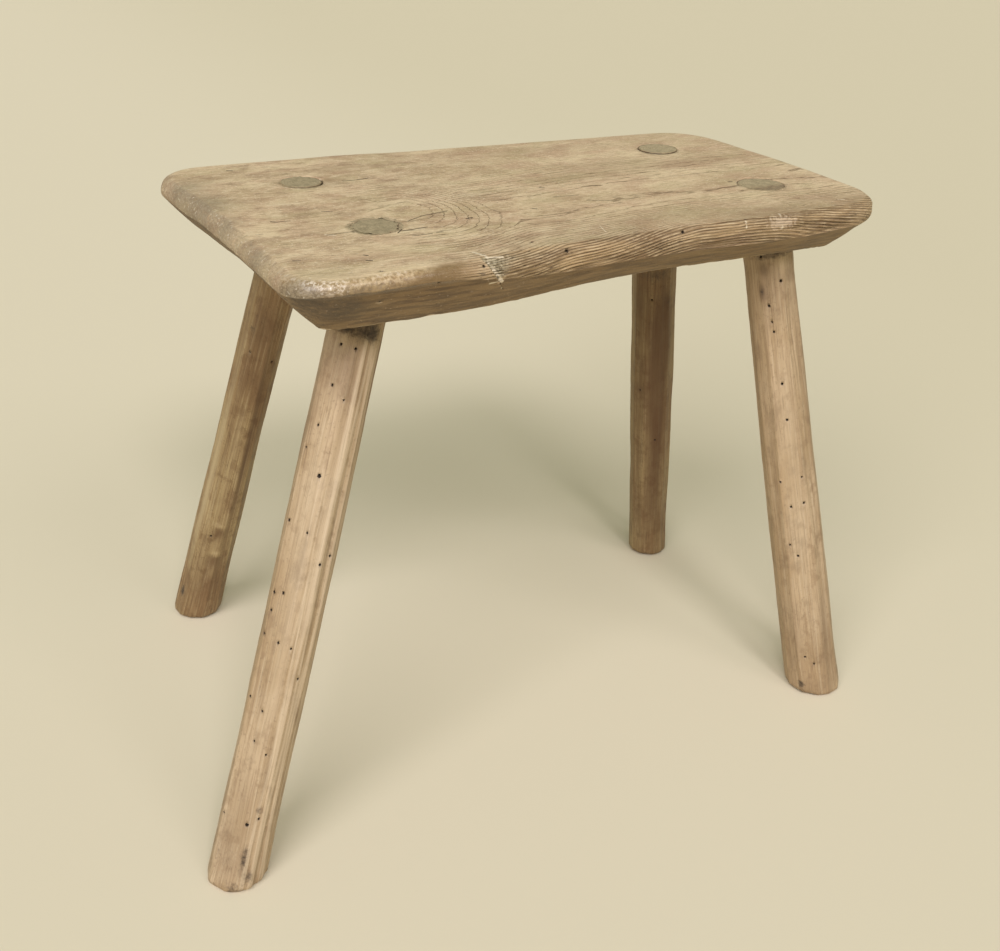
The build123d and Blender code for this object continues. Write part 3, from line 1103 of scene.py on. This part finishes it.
# %% Shape a leg
def leg_block(name):
    """A leg as a carved bmesh."""
    seed = leg_seeds[name]
    around, up_steps = ((156, 140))
    leg = bmesh.new()
    bmesh.ops.create_cone(leg, cap_ends=True, segments=around, radius1=1, radius2=1, depth=2)
    split_along(leg, (0, 0, 1), up_steps)
    for cap in [f for f in leg.faces if len(f.verts) > 4]:
        for _ in range(9):
            bmesh.ops.inset_region(leg, faces=[cap], thickness=0.1)
        bmesh.ops.poke(leg, faces=[cap])
    unit = points_of(leg)
    spread = np.clip(np.hypot(unit[:, 0], unit[:, 1]), 0, 1)
    angle = np.arctan2(unit[:, 1], unit[:, 0])
    top = seat_height - tenon_setback[name]
    height = (unit[:, 2] + 1) / 2 * top
    line = axis_line(name)
    facing = np.stack([np.cos(angle), np.sin(angle), np.zeros_like(angle)], axis=1)
    slant = np.sqrt(1 - (facing @ line) ** 2)
    radius = girth(name, height) + out_of_round(name, angle, height)
    below = below_neck(height)
    hewn = below * (0.25 + 0.75 * smooth(height, 5, 36))
    along = unrolled(angle, height)
    flat_reach = np.full_like(radius, 99.0)
    for i, (degrees, cut) in enumerate(leg_flats[name]):
        depth = cut * hewn * (0.75 + 0.6 * bumps(along * (0, 0, 1), (1, 1, 70), seed + i))
        swing = angle - radians(degrees)
        toward = np.cos(swing)
        reach = np.where(toward > 0.5, (radius - depth) / np.maximum(toward, 0.5), 99.0)
        flat_reach = np.minimum(flat_reach, reach)
    shaved = np.minimum(radius * 1.015, flat_reach)
    ridges = bumps(along, (2.6, 2.6, 90), seed + 20) + 0.5 * bumps(along, (1.4, 1.4, 40), seed + 21)
    fluted = fine_ridges(name, angle, height)
    shaved += below * (0.1 * ridges + 0.35 * bumps(along, (14, 14, 45), seed + 22)
                       + 0.12 * bumps(along, (5, 5, 6), seed + 23) + flutes[name][2] * fluted)
    foot_round = 4.5 + 1.5 * bumps(along * (1, 1, 0), (9, 9, 1), seed + 24)
    sink = np.clip(1 - height / foot_round, 0, 1)
    shaved = shaved - foot_round * (1 - np.sqrt(1 - sink ** 2)) * 0.8
    bend = bends[name] * np.sin(height / underside_height * pi) * below
    centre = axis_at(name, height)
    centre[:, 0] += bend
    place = centre + facing * (spread * shaved / slant)[:, None]
    inside = spread < 0.999
    top_cap, low_cap = inside & (unit[:, 2] > 0.999), inside & (unit[:, 2] < -0.999)
    end_wood = 0.35 * bumps(place, (2.0, 2.0, 9), seed + 25) + 0.4 * bumps(place, (7, 5, 9), seed + 26)
    place[top_cap, 2] += end_wood[top_cap] * (1 - spread[top_cap] ** 4)
    place[low_cap, 2] += 0.8 * (1 - spread[low_cap] ** 3)
    edge_top = (unit[:, 2] > 0.999) & ~inside
    place[edge_top, 2] -= 0.3 + 0.3 * bumps(place, (3, 3, 9), seed + 27)[edge_top]
    set_points(leg, place)
    bmesh.ops.recalc_face_normals(leg, faces=leg.faces)
    return leg


# %% Drill the legs' worm holes
# Points of the picture, and widths in millimetres
leg_holes = for_legs(
    [(341, 344, 2), (356, 349, 2), (332, 385, 2), (344, 400, 1.6), (318, 425, 2), (306, 447, 1.6),
     (319, 476, 2.8), (289, 520, 2), (307, 533, 1.8), (330, 556, 1.8), (320, 565, 2), (274, 592, 2.2),
     (283, 593, 2.2), (271, 610, 2), (264, 633, 1.8), (278, 643, 2.2), (291, 649, 1.6), (298, 679, 1.8),
     (250, 696, 1.8), (262, 711, 2), (238, 743, 2), (254, 741, 1.8), (266, 755, 1.6), (224, 812, 1.6),
     (247, 825, 2.6), (259, 819, 2)],
    [(272, 362, 2), (250, 352, 1.6), (211, 536, 2)],
    [(652, 300, 1.8), (640, 390, 1.6), (655, 440, 1.8)],
    [(761, 257, 1.8), (781, 281, 2.2), (769, 306, 2), (772, 322, 1.6), (774, 332, 1.8), (782, 384, 2.2),
     (787, 420, 2), (780, 482, 2.2), (802, 477, 1.6), (791, 507, 2), (804, 503, 2), (790, 545, 1.6),
     (798, 556, 2), (805, 657, 1.8), (814, 664, 1.8)],
)
origin = np.zeros(3)
legs = {name: leg_block(name) for name in leg_names}
for name, leg in legs.items():
    drill(leg, origin, leg_holes[name])

# %% [markdown]
# ## The legs' wood
# The front legs are pale and the back legs brown. Long streaks follow the leg, and its
# lighter and darker stripes, knots and dark spots are placed by points of the picture. The
# darker spots at the legs' tops, under the seat, and over most of the back right leg are
# painted shade of the seat, and the wood is painted nearly black as shade where a leg meets
# the seat. The tenon's end shows grey end grain. The two woods differ in their shades alone,
# so one function makes both.

# %% Marks on the legs, by points of the picture
# The darker spots at the tops of the legs, under the seat, and over most of the back right leg are
# painted shade of the seat.
leg_tints = for_legs(           # point, length along the leg, width, lighter (+) or darker (-)
    [(348, 360, 34, 20, -0.5), (368, 400, 30, 5, -0.5), (346, 339, 6, 4, 0.5), (318, 470, 60, 9, 0.35),
     (341, 520, 60, 4, -0.35), (289, 640, 80, 10, 0.35), (294, 678, 6, 3, -0.6),
     (283, 712, 30, 2.5, -0.5), (268, 770, 25, 3, -0.6), (250, 830, 18, 12, -0.3),
     (303, 600, 50, 2.5, -0.35), (236, 870, 16, 20, -0.35), (316, 560, 60, 2, 0.5),
     (277, 745, 40, 2, 0.5), (310, 415, 25, 5, -0.45), (337, 372, 16, 8, -0.3), (325, 450, 14, 6, -0.3),
     (262, 690, 20, 4, -0.3), (245, 790, 14, 8, -0.3), (226, 835, 18, 8, -0.35), (303, 436, 16, 3, -0.6),
     (375, 370, 40, 4, -0.3)],
    [(217, 450, 110, 3.5, 0.6), (205, 500, 60, 3.5, 0.5), (247, 450, 70, 3, -0.9),
     (226, 450, 60, 1.6, -0.5), (236, 440, 60, 4, 0.3), (262, 330, 20, 9, -0.6), (250, 380, 20, 9, -0.5),
     (219, 533, 8, 5, -0.9), (219, 526, 2, 4, 1.2), (216, 554, 2.5, 4, 1.0), (213, 561, 7, 6, -0.6),
     (205, 580, 36, 16, -0.5), (243, 500, 40, 3, -0.5)],
    [(637, 400, 120, 5, -0.35), (665, 325, 45, 9, -0.9), (657, 420, 90, 8, -0.9),
     (640, 300, 30, 8, -0.6), (650, 380, 90, 20, -0.4), (648, 510, 50, 16, -0.55),
     (642, 470, 40, 2, 0.3)],
    [(752, 330, 70, 5, -0.45), (770, 280, 30, 18, -0.4), (762, 292, 5, 2, -1.4), (763, 269, 4, 3, -0.9),
     (782, 265, 5, 3, 0.6), (790, 440, 70, 7, 0.35), (800, 560, 60, 6, 0.35), (776, 480, 70, 3, -0.4),
     (826, 640, 40, 5, -0.5), (806, 400, 60, 3, -0.4), (795, 640, 30, 5, -0.25),
     (812, 690, 9, 16, -0.35), (806, 640, 60, 20, -0.25)],
)
# Dark spots: where the legs meet the seat they are painted shade; the others darken the legs lower down,
# mostly near the feet.
leg_shade_and_dark_spots = for_legs(
    [(345, 328, 4, 9, 0.8), (372, 332, 8, 9, 0.8), (244, 858, 9, 2.5, 0.7), (248, 877, 5, 4, 0.6),
     (219, 850, 8, 3, 0.3), (230, 886, 4, 8, 0.4), (230, 814, 1.2, 7, 0.4), (259, 811, 3, 3, 0.6)],
    [(183, 590, 7, 3, 0.8), (253, 329, 3, 3, 0.5), (262, 318, 6, 6, 0.3)],
    [(655, 275, 7, 20, 0.5), (667, 300, 12, 6, 0.35)],
    [(765, 257, 3, 18, 0.5), (801, 684, 4, 3, 0.8), (762, 292, 4, 1.5, 0.7)],
)
end_paleness = for_legs(0.1, 0.0, 0.45, 0.4)        # how pale the tenon's end grain is


# %% Leg wood
def leg_wood(name, light, middle, streak, pale, dark):
    wood = Finish(name)
    cloud, rise, mark, mix, kept, paint, fall = (
        wood.cloud, wood.rise, wood.mark, wood.mix, wood.kept, wood.paint, wood.fall)
    grain = wood.place("grain")
    mm = wood.millimetres()
    streaks = cloud(grain * (0.008, 0.2, 0.2), 1.0, 5.0, 0.6)
    threads = cloud(grain * (0.014, 0.62, 0.62), 1.0, 4.0, 0.6)
    fine = cloud(grain * (0.05, 1.6, 1.6), 1.0, 4.0, 0.65)
    patches = cloud(mm * (0.025, 0.025, 0.011), 1.0, 4.0, 0.6)
    blotch = cloud(mm * (1.0, 1.0, 0.7), 0.12, 4.0, 0.6)
    stained = cloud(mm * (0.06, 0.06, 0.035) + (3.0, 0.0, 9.0), 1.0, 6.0, 0.72)
    hairs = cloud(grain * (0.02, 1.9, 1.9) + (7.0, 0.0, 0.0), 1.0, 2.0)
    speck = cloud(mm, 0.5, 3.0, 0.6)
    tint, flute, dirt = mark("tint"), mark("flute"), mark("dirt")
    wood.colour = mix(rise(patches, 0.38, 0.62), light, middle)
    for share, shade in (
        (rise(streaks, 0.5, 0.68) * 0.4, streak), (rise(threads, 0.5, 0.66) * 0.4, streak),
        (fall(threads, 0.34, 0.47) * 0.4, pale), (rise(fine, 0.52, 0.7) * 0.4, streak),
        (rise(blotch, 0.52, 0.66) * 0.5, streak), (rise(stained, 0.5, 0.66) * 0.38, dark),
        (rise(hairs, 0.58, 0.66) * 0.5, dark), (rise(speck, 0.58, 0.7) * 0.35, dark),
        (kept(tint) * 0.75, pale), (kept(tint * -1.0) * 0.8, dark),
        (rise(flute, 0.4, 0.9) * 0.5, pale), (rise(flute * -1.0, 0.0, 0.7) * 0.5, dark),
        (rise(dirt + (speck - 0.5) * 0.7, 0.15, 0.85) * rise(dirt, 0.02, 0.2), (62, 48, 36)),
    ):
        paint(share, shade)

    # The tenon's end: faint rings round the stick's own pith, and the open ends of its cells
    from_pith = wood.length(grain * (0.0, 1.0, 1.0) - (0.0, 3.0, -2.0))
    year = wood.maths("FRACT", from_pith * 0.55 + cloud(mm, 0.12, 2.0) * 2.5)
    cells = kept(rise(cloud(mm, 0.3, 5.0, 0.65), 0.38, 0.66) * 0.7 + rise(year, 0.55, 0.95) * 0.4)
    grey_end = mix(cells, (166, 150, 118), (134, 120, 92))
    pale_end = mix(cells, (186, 168, 134), (150, 134, 104))
    paint(mark("end"), mix(mark("end_pale"), grey_end, pale_end))
    # Painted shade inside the worm holes.
    paint(mark("bore"), hole_shade_colour)
    height = fine * 0.4 + threads * 0.5 + streaks * 0.3 + speck * 0.2
    return wood.done(0.66 - 0.12 * rise(streaks, 0.4, 0.7), height, leg_relief)


pale_leg = leg_wood("pale_leg_wood", (184, 160, 127), (168, 142, 107), (140, 114, 84),
                    (202, 182, 152), (116, 93, 68))
brown_leg = leg_wood("brown_leg_wood", (156, 134, 94), (134, 107, 72), (106, 77, 45),
                     (184, 164, 126), (84, 55, 29))

# %% Finish the legs
for number, (name, leg) in enumerate(legs.items()):
    points = points_of(leg)
    normals = normals_of(leg)
    tree = BVHTree.FromBMesh(leg)
    line = axis_line(name)
    out = points - axis_at(name, points[:, 2])
    end = smooth(normals[:, 2], 0.7, 0.95) * smooth(points[:, 2], seat_height - 6, seat_height - 3)
    if name == "leg_front_right":            # its end is half grown over with dirt and wear
        end *= 1 - 0.8 * smooth(-out[:, 1] + 3 * bumps(points, (5, 4, 9), 95), 1, 8)
    sole_dirt = 0.5 * (1 - smooth(points[:, 2], 0, 8)) \
        * smooth(bumps(points, (9, 9, 6), 90 + number), -0.3, 0.5)
    # Painted shade: the top of each leg is darkened just under the seat.
    shade_under_seat = smooth(points[:, 2], 336, 347) * 0.6
    around = np.arctan2(out[:, 1], out[:, 0])
    shade_and_dark_spots = picture_spots(tree, origin, points, line, leg_shade_and_dark_spots[name])
    marks = {
        "grain": np.stack([points[:, 2] + number * 400, out[:, 0], out[:, 1]], axis=1),
        "tint": picture_spots(tree, origin, points, line, leg_tints[name]) * (1 - end),
        "flute": fine_ridges(name, around, points[:, 2]) * below_neck(points[:, 2])
        * min(1, flutes[name][2] * 2),
        "end": end, "end_pale": np.full(len(points), end_paleness[name]),
        "dirt": np.clip(sole_dirt + shade_under_seat + shade_and_dark_spots, 0, 1) * (1 - end),
        "bore": bored(leg),
    }
    pale = "front" in name
    piece = finished_piece(leg, name, origin, marks, pale_leg if pale else brown_leg)

# %% [markdown]
# ## Floor and light
# The stool stands on a cream sheet that rises softly all round, far away. The photograph's
# floor shows two sets of shadows. One runs back from the right legs and one runs right from
# the left legs, and they meet in a dark pool behind the seat. So broad soft lights come
# from the front left, the front and a little from its right, and a pale world fills the
# shadows.

# %% Floor
def sheet_of_paper():
    paper = bmesh.new()
    bmesh.ops.create_circle(paper, cap_ends=True, segments=96, radius=8)
    bend = list(paper.edges)
    lifted = bmesh.ops.extrude_edge_only(paper, edges=bend)["geom"]
    outer = [g for g in lifted if isinstance(g, bmesh.types.BMVert)]
    bmesh.ops.scale(paper, verts=outer, vec=(5, 5, 1))
    bmesh.ops.translate(paper, verts=outer, vec=(0, 0, 11))
    bmesh.ops.bevel(paper, geom=bend, offset=3, offset_type="OFFSET", segments=24, profile=0.5,
                    affect="EDGES", material=-1)
    floor = placed("paper", mesh_from(paper, "paper"))
    paint = Finish("paper")
    place = paint.node("ShaderNodeTexCoord", {}, {}, "Object")
    side = paint.node("ShaderNodeSeparateXYZ", {}, {"Vector": place}, "X")
    # Painted shade: the paper is a little darker towards the right, where the light falls off.
    paper_with_painted_falloff = paint.mix(paint.rise(side, 0.0, 1.1), (218, 208, 183), (211, 201, 174))
    floor.data.materials.append(
        paint.surface({"Base Color": paper_with_painted_falloff, "Roughness": 0.9, "Specular IOR Level": 0.2}))


sheet_of_paper()


# %% Lights
def soft_sun(name, toward, strength, spread, colour):
    """Even light from one side of the room. A wide spread gives soft shadows."""
    light = bpy.data.lights.new(name, "SUN")
    light.energy, light.angle, light.color = strength, radians(spread), colour
    placed(name, light).rotation_euler = Vector(toward).to_track_quat("Z", "Y").to_euler()


for name, toward, strength, spread in (
    ("front left", (-0.57, -0.49, 0.67), 2.04, 38),
    ("front", (-0.12, -0.72, 0.68), 1.1, 15),
    ("front right", (0.25, -0.69, 0.68), 0.41, 26),
):
    soft_sun(name, toward, strength, spread, (1.0, 0.965, 1.04))
world = bpy.data.worlds.new("room")
scene.world = world
world.use_nodes = True
room = world.node_tree.nodes["Background"].inputs
room["Color"].default_value = (0.88, 1.0, 0.64, 1)
room["Strength"].default_value = 0.26
print("lights:", [light.name for light in bpy.data.lights])
